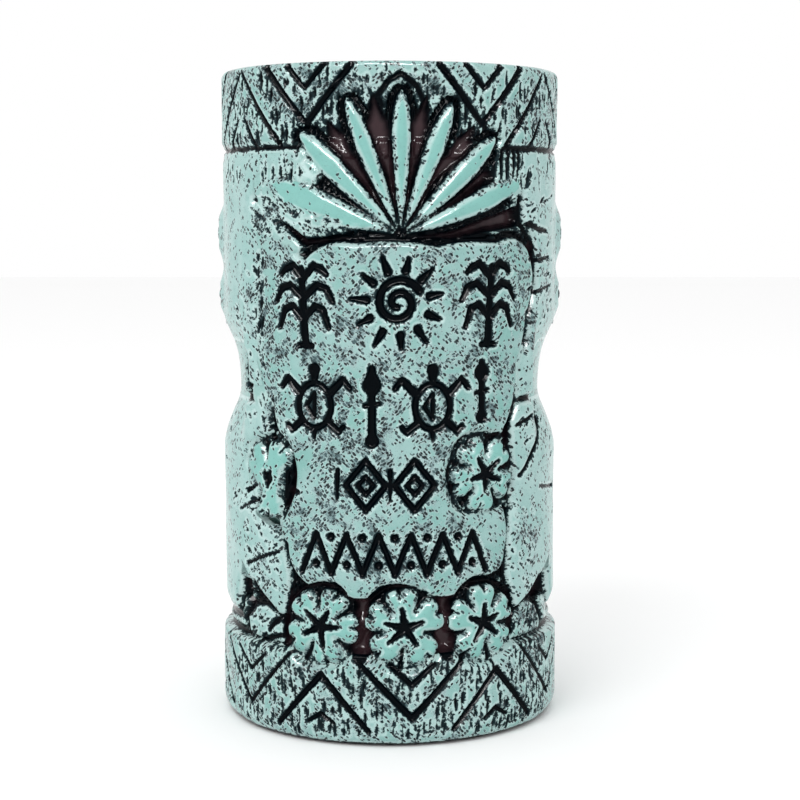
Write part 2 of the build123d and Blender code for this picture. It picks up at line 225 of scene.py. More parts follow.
# ---------------- the two layers of raised pieces
def rim_distance(theta, z):
    """Distance inside the rim band, which stops at the fan's circle. It runs on over the lip."""
    return np.minimum(z - RIM_LOW, spread(FAN_ANGLE, FAN_Z, theta, z) - FAN_REACH)


def base_distance(theta, z):
    """Distance inside the base band, which is notched round the lower flowers."""
    depth = BASE_TOP - z
    for name in LOWER_ROW:
        angle, height, radius, stretch, _ = FLOWERS[name]
        depth = np.minimum(depth, spread(angle, height, theta, z, stretch) - radius - BAND_CLEARANCE)
    return depth


# How far out the limbs reach past the tablet's side: (height, radius), with a waist at the neck
SIDE_PROFILE = np.array([
    (0, 41.3), (22, 41.3), (24.5, 38.9), (27, 40), (30, 41.2), (67, 41.3), (71, 40.5), (74.5, 39.2),
    (78, 37.6), (81, 37), (86, 37.3), (90, 37.9), (93, 38.8), (95.5, 39.9), (98, 41), (158, 41),
])
FIGURE_NODES = ("head", "arm", "leg")
LIMB_START = (56, 64)                   # how far round the limbs begin to follow the side's profile
NECK_START, NECK_END = (75.5, 77.5), (94, 97)
BLEND_ROWS = 8                          # the profile is rounded over this many rows of the field

# Each piece's top radius and the width of its shoulder
LAYER_ONE = {
    "tablet": (R, 1.3), "face_panel": (PANEL_R, 1.5), "torso": (PANEL_R, 1.5),
    **{name: (R, 2.2) for name in LEAVES},
    **{name: (FLOWER_R, 2.2) for name in FLOWERS},
    **{f"{name}_{side}": (LIMB_R, 2.0) for name in FIGURE_NODES for side in ("left", "right")},
    "heel_left": (40.4, 2.0), "heel_right": (40.4, 2.0),
}
LAYER_TWO = {
    "brow_ridge": (41.4, 2.6), "nose": (41.9, 5.0), "mouth": (LIMB_R, 1.6), "teeth": (40.5, 1.0),
    "navel": (40.8, 2.6),
    **{f"{name}_{side}": size for side in ("left", "right") for name, size in (
        ("eye", (40.9, 3.0)), ("hand", (LIMB_R, 3.0)), ("foot", (LIMB_R, 3.0)), ("ear", (42.8, 6.6)))},
}

# wall holds the distance inside the nearest raised piece, and surface the radius that is carved
in_rim, in_base = rim_distance(T_ALL, Z_ALL), base_distance(T_ALL, Z_ALL)
wall = np.maximum(in_rim, in_base)
surface = np.maximum(part_way(OUTLINE_LEVEL, RIM_R, crown(in_rim, 1.2)),
                     part_way(OUTLINE_LEVEL, BASE_R, crown(in_base, 1.6)))
surface = np.where(wall > 0, surface, 0)

# Arm and leg are one form cut by a seam, so a patch across the seam keeps its surface up
SEAM_LOW, SEAM_HIGH = 36, 55
for middle, half_span in ((-80.0, 41.0), (83.0, 38.5)):
    at = window(middle, arc(half_span), SEAM_LOW, SEAM_HIGH)
    s, z = local_grid(middle, at)
    over_seam = np.minimum(arc(half_span) - np.abs(s), np.minimum(z - SEAM_LOW, SEAM_HIGH - z))
    wall[at] = np.maximum(wall[at], over_seam)
    surface[at] = np.maximum(surface[at], part_way(OUTLINE_LEVEL, LIMB_R, crown(over_seam, 2.0)))

side_top = np.interp(UP, SIDE_PROFILE[:, 0], SIDE_PROFILE[:, 1])
kernel = np.hanning(2 * BLEND_ROWS + 1)
side_top = np.convolve(np.pad(side_top, BLEND_ROWS, mode="edge"), kernel / kernel.sum(), mode="valid")
for node, (top, shoulder) in LAYER_ONE.items():
    at, depth = node_field(node)
    shoulder_foot = SUNK_R if node in ("face_panel", "torso") else OUTLINE_LEVEL
    level = part_way(shoulder_foot, top, crown(depth, shoulder))
    if node.split("_")[0] in FIGURE_NODES:
        away = np.abs(T_ALL[at])
        limit = side_top[at[0].ravel()][:, None]
        level = np.minimum(level, level + (limit - level) * smooth(*LIMB_START, away))
    surface[at] = np.where(depth > 0, np.maximum(surface[at], level), surface[at])
    wall[at] = np.maximum(wall[at], depth)

ground = np.where(Z_ALL < FOOT_TOP, FOOT_R, GROUND_R)
ground = ground + (COLLAR_R - GROUND_R) * smooth(COLLAR_START, COLLAR_Z, Z_ALL)


def stroke(field, points, start_width, end_width=None):
    """Adds a stroke through (angle, z) points to a field of distances, its width changing along it."""
    end_width = start_width if end_width is None else end_width
    points = np.array(points, float)
    middle = points[:, 0].mean()
    s = arc(1) * (points[:, 0] - middle)
    widest = max(start_width, end_width) + 2
    at = window(middle, np.abs(s).max() + widest, points[:, 1].min() - widest, points[:, 1].max() + widest)
    gs, gz = local_grid(middle, at)
    length = np.concatenate([[0], np.cumsum(np.hypot(np.diff(s), np.diff(points[:, 1])))])
    best = np.full(gs.shape, NONE)
    for i in range(len(s) - 1):
        ex, ey = s[i + 1] - s[i], points[i + 1, 1] - points[i, 1]
        t = np.clip(((gs - s[i]) * ex + (gz - points[i, 1]) * ey) / (ex * ex + ey * ey + 1e-12), 0, 1)
        along = (length[i] + t * (length[i + 1] - length[i])) / max(length[-1], 1e-6)
        half = (start_width + (end_width - start_width) * along) / 2
        best = np.maximum(best, half - np.hypot(gs - s[i] - ex * t, gz - points[i, 1] - ey * t))
    field[at] = np.maximum(field[at], best)


def patch(points, fade=0.55):
    """A field of soft patches, each (angle, z, half width, half height, strength), fading from fade out."""
    field = np.zeros((ROWS, COLUMNS))
    for angle, height, across, tall, strength in points:
        d = spread(angle, height, T_ALL, Z_ALL, across, tall)
        np.maximum(field, strength * (1 - smooth(fade, 1.0, d)), out=field)
    return field


# Deep pools between the leaves and beside the flowers, where glaze has gathered: points, start and end widths
POOLS = [
    # in the fan
    ([(1.5, 121.5), (-8, 131), (-17, 140)], 1, 5.4), ([(3.2, 122), (0.5, 133), (-3.8, 143.5)], 0.8, 6.4),
    ([(4.8, 122), (7.5, 133), (10.2, 143.5)], 0.8, 5.2), ([(6.5, 121.5), (14, 131), (25, 139)], 1, 5.4),
    ([(-17, 140), (-20.5, 144.5)], 5.2, 1), ([(-3.8, 143.5), (-5.2, 150.5)], 6.2, 1),
    ([(10.2, 143.5), (12.6, 150)], 5, 1), ([(25, 139), (29.5, 143.5)], 5.2, 1),
    ([(9, 120.6), (22, 126), (35, 132.5)], 1, 3.4), ([(-1, 120.4), (-14, 125), (-28, 129.6)], 0.9, 2.2),
    ([(8, 118.3), (22, 119), (36, 121.5), (48, 123)], 1.2, 5),
    ([(-2, 118.2), (-16, 118.2), (-29, 117.2)], 0.8, 2.2),
    ([(-29, 117.2), (-34, 119.8), (-40, 122.2)], 2.2, 0.6),
    # between the lower flowers and beside them
    ([(-10, 39), (-9, 33)], 7.5, 4.5), ([(-9, 33), (-9, 24)], 4.5, 7),
    ([(19.6, 38.5), (19.3, 33)], 7.5, 4.5), ([(19.3, 33), (19.4, 24)], 4.5, 7),
    ([(-36, 36), (-38, 30), (-37.5, 23)], 2, 3), ([(45.5, 37), (47, 30), (46.5, 24)], 1.5, 2.5),
    # beside the upper flowers
    ([(44, 76), (44.2, 70), (43.2, 64), (44.5, 57)], 3, 1.2), ([(34, 73), (37, 71.5), (42, 73.5)], 1, 2),
    ([(29.5, 57), (22, 59.5), (19.5, 66)], 1.6, 1.2), ([(-33.4, 69), (-34.2, 62), (-36.4, 56)], 1.2, 3.2),
    ([(-43, 71.5), (-42, 69.5)], 2.6, 2),
    # round the heels
    ([(-58.5, 39), (-56.5, 34), (-50, 32.2)], 1, 1.2), ([(-60, 35), (-57, 31)], 4, 3),
    ([(57, 31), (63, 34), (70, 37.5)], 1.5, 4.5), ([(62, 31.5), (70, 33)], 3, 5),
    # beside the tablet's upper right corner
    ([(53, 97), (56.5, 104), (59.2, 110)], 0.8, 2.4), ([(59.4, 109), (58.6, 116.5)], 2.8, 2.8),
]
pool = np.full((ROWS, COLUMNS), NONE)
for points, start, end in POOLS:
    stroke(pool, points, start, end)

# Places where a raised piece runs into its neighbour with no edge between them
merged = patch([
    (-18, 121.4, 9, 2.2, 0.9), (-47.5, 84, 5, 12, 1), (-47.5, 101, 4.5, 16, 1), (-44, 131, 8, 5.5, 1),
    (-35, 136, 6, 5, 0.9), (-52, 63, 5, 8, 0.65), (46, 133, 7, 6.5, 0.8), (-30, 133, 6, 4, 0.6),
    (-44, 45, 4, 5, 0.5), (-38, 117, 7, 4, 1), (-40, 122.5, 10, 4.5, 0.9), (-38, 128, 10, 5, 1),
    (-49, 119, 5, 9, 1), (-30, 122, 5, 3, 0.6), (49.5, 88, 3, 10, 0.35),
])
from_ring = np.abs(spread(FAN_ANGLE, FAN_Z, T_ALL, Z_ALL) - FAN_REACH)
rim_joint = (1 - smooth(1.6, 3.2, from_ring)) * (Z_ALL > 137)
rim_joint = np.maximum(rim_joint, 1 - smooth(1.4, 2.4, np.abs(Z_ALL - 138.5)))
on_leaf = np.zeros((ROWS, COLUMNS))
for leaf in LEAVES:
    at, depth = node_field(leaf)
    on_leaf[at] = np.maximum(on_leaf[at], smooth(-1.4, -0.6, depth))
merged = np.maximum(merged, rim_joint * (1 - on_leaf))

# The lower flowers have a dark ring over them and run into the base band under them
for name, (angle, height, radius, stretch, _) in FLOWERS.items():
    from_flower = spread(angle, height, T_ALL, Z_ALL, stretch) - radius
    share = 0.12
    if name in LOWER_ROW:
        below = 1 - smooth(-6, -2, Z_ALL - height)
        pool = np.maximum(pool, 0.85 - np.abs(from_flower - 0.75) - 1.2 * below)
        share = 0.04 + 0.18 * below
    merged = np.maximum(merged, share * (1 - smooth(1.0, 3.0, from_flower)) * (from_flower > -3))

# The valleys: a groove along every outline, a plate beyond it, and the pools cut through both
beyond = np.maximum(-wall, 0)
groove = np.minimum(beyond, GROOVE * (1 - 1.6 * merged) - beyond)
wide = smooth(1.3, 2.3, beyond)
groove = np.maximum(groove, np.where(beyond > GROOVE, -0.2 + (1 - wide) * 0.8, NONE)) - 1.5 * merged
pool = np.where(wall < 0.3, pool, NONE)
plate = PLATE_R + 0.5 * merged
valley = part_way(plate, SUNK_R, smooth(-0.4, 0.7, groove))
valley = np.minimum(valley, part_way(plate, ground, smooth(-0.7, 1.5, pool)))
valley += (OUTLINE_LEVEL - valley) * np.exp(-(beyond / 0.6) ** 2) * (1 - merged)
surface = np.where(wall > 0, np.maximum(surface, ground), valley)
near_edge = np.exp(-(np.minimum(np.abs(wall), 4) / 2.2) ** 2)
surface += (MERGED_R - surface) * merged * near_edge
recess = np.where(wall < 0, np.maximum(groove, pool), -np.abs(wall) - 1.2 * merged)

# Head and arm run into each other at the neck, which keeps the side's profile
at_neck = smooth(*NECK_START, Z_ALL) * (1 - smooth(*NECK_END, Z_ALL))
kept_side = smooth(58, 66, np.abs(T_ALL)) * at_neck
recess -= 1.4 * kept_side * (1 - smooth(78, 92, np.abs(T_ALL)))
surface = surface + (np.minimum(surface, side_top[:, None]) - surface) * kept_side * (np.abs(T_ALL) < 127)

# The figure's features. Ears are soft bumps, and the others stand up with a small foot round them
trim = np.full((ROWS, COLUMNS), -REACH)
for node, (top, shoulder) in LAYER_TWO.items():
    at, depth = node_field(node)
    foot = np.exp(-(np.minimum(depth, 0) / 0.8) ** 2) * 0.5
    base = surface[at]
    soft = node.startswith("ear")
    start = base + (0.0 if soft else 0.5)
    share = smooth(0, shoulder, depth) if soft else crown(depth, shoulder)
    lifted = np.where(depth > 0, start + (np.maximum(top, start) - start) * share, base + foot * (not soft))
    surface[at] = np.where(depth > NONE, np.maximum(surface[at], lifted), surface[at])
    trim[at] = np.maximum(trim[at], depth)

# A fine groove round each feature of the figure
trim_groove = TRIM_GROOVE - np.abs(trim + TRIM_GROOVE) - 2 * (np.abs(T_ALL) < TABLET_SIDE)
surface -= 0.7 * smooth(-0.2, 0.6, trim_groove)
recess = np.maximum(recess, trim_groove - 0.1)


def drop(z):
    """How far the surface has rounded in by a height, at the lip and at the foot."""
    lip = np.clip((z - (HEIGHT - LIP_ROUND)) / LIP_ROUND, 0, 1)
    foot = np.clip((FOOT_EDGE - z) / FOOT_EDGE, 0, 1)
    return LIP_ROUND * (1 - np.sqrt(1 - lip ** 2)) + FOOT_EDGE * (1 - np.sqrt(1 - foot ** 2))


def drop_slope(z):
    """How fast the rounding in grows with height."""
    lip = np.clip((z - (HEIGHT - LIP_ROUND)) / LIP_ROUND, 0, 0.999)
    foot = np.clip((FOOT_EDGE - z) / FOOT_EDGE, 0, 0.999)
    return lip / np.sqrt(1 - lip ** 2) - foot / np.sqrt(1 - foot ** 2)


# ---------------- carved strokes
cut = np.full((ROWS, COLUMNS), NONE)


def carve(points, start_width, end_width=None):
    """One tool stroke in the surface."""
    stroke(cut, points, start_width, end_width)


def both_sides(middle, points, start_width, end_width=None):
    """A stroke and its mirror image, with the points' angles measured from middle."""
    for side in (-1, 1):
        carve([(middle + side * angle, height) for angle, height in points], start_width, end_width)


def curve(angle, height, radius, start, end, grow=0.0, steps=20):
    """Points along an arc or a spiral on the wall, from one turn to another."""
    turns = np.radians(np.linspace(start, end, steps))
    reach = radius + grow * np.linspace(0, 1, steps)
    return [(angle + r * cos(t) / arc(1), height + r * sin(t)) for r, t in zip(reach, turns)]


# Nested chevrons in the bands, point down at the rim and point down and up in turn at the base
APART = 360 / CHEVRONS
for k in range(CHEVRONS):
    middle = RIM_CHEVRON_START + APART * k
    both_sides(middle, [(15.8, 157.2), (0, 144.2)], 1.8, 1.6)
    both_sides(middle, [(6.6, 157.2), (0, 152.2)], 1.6, 1.3)
    for side in (-1, 1):
        if abs(middle + side * 15 - FAN_ANGLE) >= 20:           # nearer than that stand the fan's tips
            carve([(middle + side * x, z) for x, z in ((29, 156.4), (20, 148.2), (10, 139.6))], 1.1, 1.6)
            carve([(middle + side * x, z) for x, z in ((27.6, 145.5), (22, 139.8))], 1, 1.3)
    middle = BASE_CHEVRON_START + APART * k
    worn = 0.65 if k in (1, CHEVRONS - 1) else 1.0
    both_sides(middle, [(18.6, 21.2), (0, 7)], 1.5 * worn, 1.9 * worn)
    both_sides(middle, [(7.4, 19.6), (0, 15)], 1.4 * worn, 1.7 * worn)
    both_sides(middle + APART / 2, [(16, 3.9), (0, 16.8)], 1.5, 1.8)
    both_sides(middle + APART / 2, [(4.6, 5.4), (0, 7.5)], 1, 1.4)

# An arch over the fan's middle leaf
carve([(-6, 148), (0, 153.6), (4, 155.2), (9, 152.5), (13, 147)], 1.6, 1.4)


def nick(theta, z, length, lean, width):
    """A short scratch, thickest in its middle, upright apart from a lean in degrees."""
    across = length * sin(radians(lean)) / arc(1) / 2
    up = length * cos(radians(lean)) / 2
    carve([(theta - across, z - up), (theta, z)], width * 0.45, width)
    carve([(theta, z), (theta + across, z + up)], width, width * 0.35)


def hatch(angles, heights, spacing, length, width, keep=1.0, lean=0.0, clear=0.7, within=(-9, 99)):
    """Rows of nicks at uneven spacings, clear of other strokes and only so far inside an outline."""
    before = cut.copy()
    for theta in np.arange(angles[0], angles[1], spacing):
        z = heights[0] + rng.uniform(0, 0.6) * length[1]
        while z < heights[1]:
            tall = rng.uniform(*length)
            at_theta = theta + rng.uniform(-0.35, 0.35) * spacing
            row = min(ROWS - 1, int(z / STEP))
            column = int((at_theta + 180) % 360 / 360 * COLUMNS) % COLUMNS
            allowed = before[row, column] < -clear and within[0] < wall[row, column] < within[1]
            if rng.uniform() < keep and allowed:
                nick(at_theta, z, tall, lean + rng.uniform(-7, 7), rng.uniform(*width))
            z += tall + rng.uniform(0.5, 2.2)


# Upright hatching in the bands, on the head under the rim and over the fan's tips
hatch((-180, -62), (141.5, 155), 2.3, (1.6, 4.4), (0.5, 1), 0.75)
hatch((-62, -8), (141, 156), 1.9, (1.6, 4.6), (0.6, 1.15), 0.95)
hatch((-14, 22), (150.8, 156.5), 1.9, (1, 2.4), (0.5, 1), 0.8)
hatch((24, 52), (141, 155), 2.2, (1.6, 4.4), (0.5, 1.05), 0.85)
hatch((52, 180), (141.5, 155), 2.4, (1.6, 4), (0.5, 0.95), 0.65)
hatch((-32, 36), (140.5, 150.5), 1.7, (2.6, 5.4), (0.8, 1.5), 0.95, clear=0, within=(-9, -0.4))
for theta in (37.6, 40.2, 42.8, 45.4, 47.8):
    carve([(theta, 138.2), (theta + rng.uniform(-0.4, 0.4), 132.6 - 0.1 * (48 - theta))], 1.3, 0.8)
hatch((50, 60), (131, 137), 2.4, (3, 5), (0.6, 0.9), 0.9)
hatch((-60, -30), (131.5, 137.4), 2.6, (2, 4.6), (0.5, 0.95), 0.65)
hatch((-38, -29), (131.5, 138), 1.9, (2, 4.6), (0.6, 1), 0.9)
hatch((60, 300), (131, 137.4), 3, (2, 4.6), (0.5, 0.9), 0.6)
hatch((-60, 66), (3, 20), 1.75, (1.6, 4.2), (0.5, 0.95), 0.86)
hatch((62, 300), (4, 19.5), 2.4, (1.4, 3.6), (0.5, 0.9), 0.6)
hatch((-58, -40), (22.8, 30), 1.7, (1.5, 3.2), (0.5, 1), 0.85, 62)
hatch((-56, -34), (20.2, 22), 1.6, (1.4, 2.4), (0.5, 0.9), 0.9)
hatch((48, 66), (20.2, 29), 2.2, (1.6, 3.6), (0.6, 1.1), 0.8, 25)
hatch((-66, -50), (21.5, 28), 2, (1.8, 3.6), (0.6, 1), 0.8, -25)

# Slanting scratches under the first leaf, on the cheeks and down the limbs
hatch((-28, -9), (119.6, 122.6), 1.4, (0.8, 1.8), (0.4, 0.75), 0.9, -60)
hatch((-51, -29), (119.5, 128), 1.5, (1.6, 3.6), (0.45, 0.85), 0.85, -55)
hatch((-48.8, -46.4), (97, 114), 1, (1.6, 3.6), (0.6, 1.1), 0.9, 8)
hatch((-50, -45), (93, 115), 1.9, (0.9, 2.2), (0.5, 0.9), 0.8, -20)
hatch((-62, -50), (96, 112), 2.6, (0.8, 1.8), (0.4, 0.8), 0.5, -60)
hatch((-56, -46), (76, 92), 2.4, (0.8, 2), (0.45, 0.8), 0.5, -30)
hatch((-46, -39), (70, 82), 1.9, (0.8, 2), (0.5, 1), 0.7, -20)
hatch((54, 74), (96, 128), 3.2, (1, 3), (0.45, 0.9), 0.5, 70)
hatch((50, 72), (70, 78), 2.8, (1, 2.6), (0.45, 0.8), 0.5, 65)
hatch((45, 58), (34, 56), 2.4, (0.8, 1.8), (0.4, 0.8), 0.4, -50)
hatch((-56, -38), (36, 52), 2.2, (0.8, 2), (0.4, 0.8), 0.6, -50)
hatch((-66, -46), (53, 57.5), 1.8, (0.8, 1.8), (0.4, 0.8), 0.6, 70)
hatch((74, 130), (50, 78), 6, (1.4, 3), (0.4, 0.8), 0.5, 60)
hatch((-130, -70), (50, 78), 6, (1.4, 3), (0.4, 0.8), 0.5, -60)

# The line under the rim band
for low, high in ((-180, -31), (41, 180)):
    for theta in np.arange(low, high - 1, 5.0):
        carve([(theta, 138.9 + rng.uniform(-0.2, 0.2)), (min(theta + 5.2, high), 138.9)],
              rng.uniform(0.9, 1.5), rng.uniform(0.9, 1.5))


# Tablet motifs: ferns, a spiral sun, turtles, spears, lozenges and a zigzag
def fern(angle, low, high, lean, width):
    """An upright stem with a fan of drooping fronds, broader at its foot and its tips."""
    carve([(angle - lean, low), (angle, (low + high) / 2), (angle + lean, high)], width * 1.15, width)
    carve([(angle - lean - 2.4, low - 0.2), (angle - lean + 2.4, low - 0.2)], width * 0.8)
    for share, span, droop in ((0.40, 8.6, 4.8), (0.68, 10.0, 3.6), (0.94, 8.0, 1.8)):
        z = low + (high - low) * share
        bend = (span * 0.85, z + 1.2)
        both_sides(angle, [(0, z - 1), (span * 0.5, z + 2), bend], width, width * 0.95)
        both_sides(angle, [bend, (span * 1.08, z + 1.8 - droop)], width * 0.95, width * 0.7)


def spear(angle, low, high, width):
    """An upright spear with a leaf-shaped head and a cross binding."""
    neck = low + (high - low) * 0.62
    carve([(angle, low), (angle, high)], width, width * 0.9)
    carve([(angle, neck), (angle, neck + 2.6)], width * 0.9, width * 2.1)
    carve([(angle, neck + 2.6), (angle, high + 0.6)], width * 2.1, width * 0.5)
    carve([(angle - 2.3, neck - 2.2), (angle + 2.3, neck - 1.6)], width * 0.6)
    carve([(angle, low), (angle, low + 1.6)], width * 1.7, width)


fern(-29, 93.8, 111, -0.8, 2.1)
fern(35, 94, 111.5, 0.8, 2.1)
SUN = (3.2, 103.6)
carve(curve(*SUN, 1, 250, -330, grow=4.6, steps=44), 2, 2.3)
RAYS = 11
for ray in range(RAYS):
    turn = ray * tau / RAYS + 0.2
    near, far = 7.4, 10.4 + 0.7 * (ray % 2)
    carve([(SUN[0] + near * cos(turn) / arc(1), SUN[1] + near * sin(turn)),
           (SUN[0] + far * cos(turn) / arc(1), SUN[1] + far * sin(turn))], 2.3, 1.2)


def turtle(angle, height, size):
    """A turtle seen from above: a shell with a wedge on it, a head, four swept flippers and a tail."""
    def place(x, z):
        """A point's angle from the middle and its height, given in turtle sizes."""
        return x * size / arc(1), height + z * size

    def ring(across, up, turns):
        """Points round the shell."""
        return [(angle + x, z) for x, z in (place(across * cos(turn), up * sin(turn)) for turn in turns)]

    carve(ring(0.50, 0.62, np.linspace(0, tau, 25)), 1.8)
    carve(ring(0.24, 0.34, np.array([0.5, 1, 1.5, 0.5]) * pi), 1.3)
    both_sides(angle, [place(0, 0.72), place(0, 1)], 2, 3.2)
    both_sides(angle, [place(0, -0.66), place(0, -0.95)], 1.8, 0.8)
    both_sides(angle, [place(0.50, 0.38), place(0.86, 0.74), place(1.05, 0.50)], 2.4, 1.6)
    both_sides(angle, [place(0.42, -0.44), place(0.72, -0.70), place(0.86, -0.56)], 2.2, 1.5)


turtle(-25, 79.8, 8.4)
turtle(14.4, 79.8, 8.4)
spear(-5.4, 72, 88.5, 2.2)
spear(32, 77, 89.5, 2)

for x in (-7.5, 8.5):
    z = 61.6
    carve([(x - 6.6, z), (x, z + 5.8), (x + 6.6, z), (x, z - 5.8), (x - 6.6, z)], 1.7)
    carve([(x - 2.6, z), (x, z + 2.1), (x + 2.6, z), (x, z - 2.1), (x - 2.6, z)], 1.4)
for x in (-17.0, 0.5):
    carve([(x, 58.2), (x, 65)], 0.9, 1.5)

for number in range(6):
    x = -24.5 + 10.6 * number
    carve([(x - 5.3, 40.8), (x - 2.6, 45.6), (x, 50), (x + 2.6, 45.6), (x + 5.3, 40.8)], 1.7, 1.6)
    carve(curve(x, 43, 0.3, 0, 360, steps=6), 1.7)
    if number:
        carve(curve(x - 5.3, 49.4, 0.2, 0, 360, steps=6), 1.8)

# Flowers: a sunken star with a ray along each petal, and slits in from the edge
for angle, height, radius, stretch, petals in FLOWERS.values():
    def spoke(direction, near, far, start_width, end_width):
        """A straight stroke outwards from the flower's middle."""
        across = stretch * radius * cos(radians(direction)) / arc(1)
        up = radius * sin(radians(direction))
        carve([(angle + t * across, height + t * up) for t in (near, far)], start_width, end_width)

    spoke(0, 0, 0.02, 2.8, 2.8)
    reach = 1.0 if len(petals) > 3 else 0.45
    for number, direction in enumerate(petals):
        following = petals[(number + 1) % len(petals)]
        between = direction + (following - direction) % 360 / 2
        spoke(direction + rng.uniform(-5, 5), 0.05, reach * rng.uniform(0.42, 0.56), 2.2, 1.0)
        spoke(direction + rng.uniform(-4, 4), 0.98, rng.uniform(0.76, 0.84), 1.0, 0.5)
        spoke(between, 1.0, rng.uniform(0.48, 0.62), 1.4, 0.8)

# Creases in the limbs
carve([(-60.5, 53), (-55.5, 54.8), (-48.8, 56.6)], 0.7, 0.9)
carve([(-56, 40.2), (-50.5, 41.8), (-45.5, 43.2), (-39.5, 44.6)], 1, 0.8)
carve([(49, 62), (52, 63.6), (56.5, 67.2), (62, 71), (66, 74.5)], 1, 2)
carve([(47.5, 74.2), (51, 74.8), (55.5, 75.8)], 1, 1.1)
carve([(62, 58.4), (70, 57.6), (78, 57)], 0.7, 0.9)
carve([(-56.5, 83), (-56.3, 91)], 0.9, 0.4)
carve([(54.5, 121.5), (60, 120.2), (68, 119.6)], 1.6, 0.9)
carve([(56.5, 112.6), (62, 112.8), (70, 113.4)], 1.3, 0.8)
carve([(58, 105), (64, 105.8), (72, 106.4)], 1, 0.7)
carve([(-50, 22), (-44, 23.4), (-38, 24.6)], 1.2, 1.2)
carve([(-9, 24), (-9.2, 21.6)], 1.6, 3.4)
carve([(19.4, 24), (19.4, 21.6)], 1.6, 3)
carve([(-45, 25.2), (-42.5, 27.2), (-40, 28.6)], 1.2, 1.4)


def front(points, start_width, end_width=None):
    """A stroke on both sides of the figure's front, with angles measured from its middle."""
    both_sides(FIGURE_ANGLE, points, start_width, end_width)


# The figure's front: pupils, brows, nostrils, laugh lines, beads, fingers, a loincloth and toes
front(curve(26.5, 113.2, 2.5, 0, 360), 1.3)
front([(26.3, 113.2), (26.7, 113.2)], 2.2)
for x in np.arange(3.0, 41.0, 6.0):
    front([(x, 124.6), (x * 1.03, 128.4)], 0.9, 1.4)
front(curve(7.4, 103.6, 1.8, -60, 200), 1.3, 0.9)
front([(0, 116.4), (3.4, 115.8)], 1.2, 0.8)
front([(0, 113.4), (4.2, 112.8)], 1.2, 0.8)
front([(15.6, 105.6), (22, 103.2), (30, 101.4), (37, 97), (40.5, 90)], 1, 1.8)
front([(43, 112), (46.2, 106), (46.6, 99)], 0.9, 1.5)
front([(0, 92.6), (19.5, 92.6)], 1.1)
for x in (0, 7.1, 14.2):
    front([(x, 89.4), (x, 95.8)], 1)
for x in np.arange(2.6, 22.0, 5.2):
    front([(x, 84.8), (x, 88 - 0.04 * x)], 1.3, 0.8)
for x in np.arange(3.0, 36.0, 5.6):
    front(curve(x, 70.4 + 6 * (x / 34) ** 2, 0.5, 0, 360, steps=8), 2)
front([(12, 57.2), (23, 57)], 1.3, 0.8)
front([(11.6, 60.4), (24, 60.2)], 1.3, 0.8)
front([(12, 63.4), (23, 63.6)], 1.2, 0.8)
front([(36, 54.6), (36.4, 66.6)], 1.2)
front([(39.6, 54.6), (40, 66.8)], 1.2)
front([(0, 36.6), (9.6, 36.6)], 1.6)
front([(9.6, 36.6), (7.8, 26)], 1.3)
front([(0, 33.6), (4.4, 30.4), (0, 27.4)], 1.3)
for x in (15.4, 20.0, 24.8):
    front([(x, 25.6), (x, 29.6)], 1.3, 0.8)
front(curve(45, 38.6, 0.8, 90, 560, grow=3.6, steps=30), 1.1, 1.4)
front([(20, 49.8), (33, 49.8)], 1, 0.8)

# The figure's sides: ear rings, hair, a spiral on each shoulder and bands on the legs
for side in (-1, 1):
    ear = side * 93.5
    carve(curve(ear, 119, 3, -60, 240), 1.5, 1.2)
    carve(curve(ear, 118.6, 0.4, 0, 360, steps=6), 1.5)
    carve(curve(ear, 103.8, 2.1, 0, 360), 1.3)
    for x in np.arange(104.0, 124.0, 4.4):
        sway = rng.uniform(0.5, 1.1)
        carve([(side * x, 96.0 + rng.uniform(0, 2)), (side * (x + sway), 107.0), (side * (x - sway), 119.0),
               (side * x, 133.5)], 1.5, 0.8)
    carve(curve(side * 99, 66, 1, 0, 620, grow=6.2, steps=44), 1.5, 1.9)
for x in (112, 116):
    both_sides(0, [(x, 49), (x, 77)], 1.4, 1.2)
    both_sides(0, [(x, 29.4), (x, 43.4)], 1.3, 1.5)
for z in (52, 57, 62, 67, 72):
    both_sides(0, [(112, z), (116, z + 2.4)], 1.1)
for z in (43.4, 36.4):
    both_sides(0, [(84 + 6 * turn, z - 5.8 * (turn % 2)) for turn in range(4)], 1.5)

# The leaves stay clear of the strokes round them
for leaf in LEAVES:
    at, depth = node_field(leaf)
    cut[at] = np.minimum(cut[at], 0.3 - depth)

cut_depth = CUT_DEPTH * smooth(-0.35, 0.8, cut) * (1 - smooth(-0.7, 0.3, recess))
surface -= cut_depth * np.where(wall > 0, smooth(0.2, 1.2, wall), 1)

# Slow unevenness of a hand-finished mould
for waves, tall, size in ((3, 1, 0.05), (7, 2, 0.05), (13, 5, 0.04), (19, 9, 0.03)):
    surface += size * np.sin(np.radians(waves * T_ALL) + tall * Z_ALL / 25 + waves)

# ---------------- what the shader needs to know
speck = np.where(np.abs(T_ALL) > 84, 0.22, 0.17)
at, depth = node_field("tablet")
speck[at] = np.where(depth > 0.3, 0.56, speck[at])
speck = np.where((in_rim > 0) | (in_base > 0), 0.40, speck)

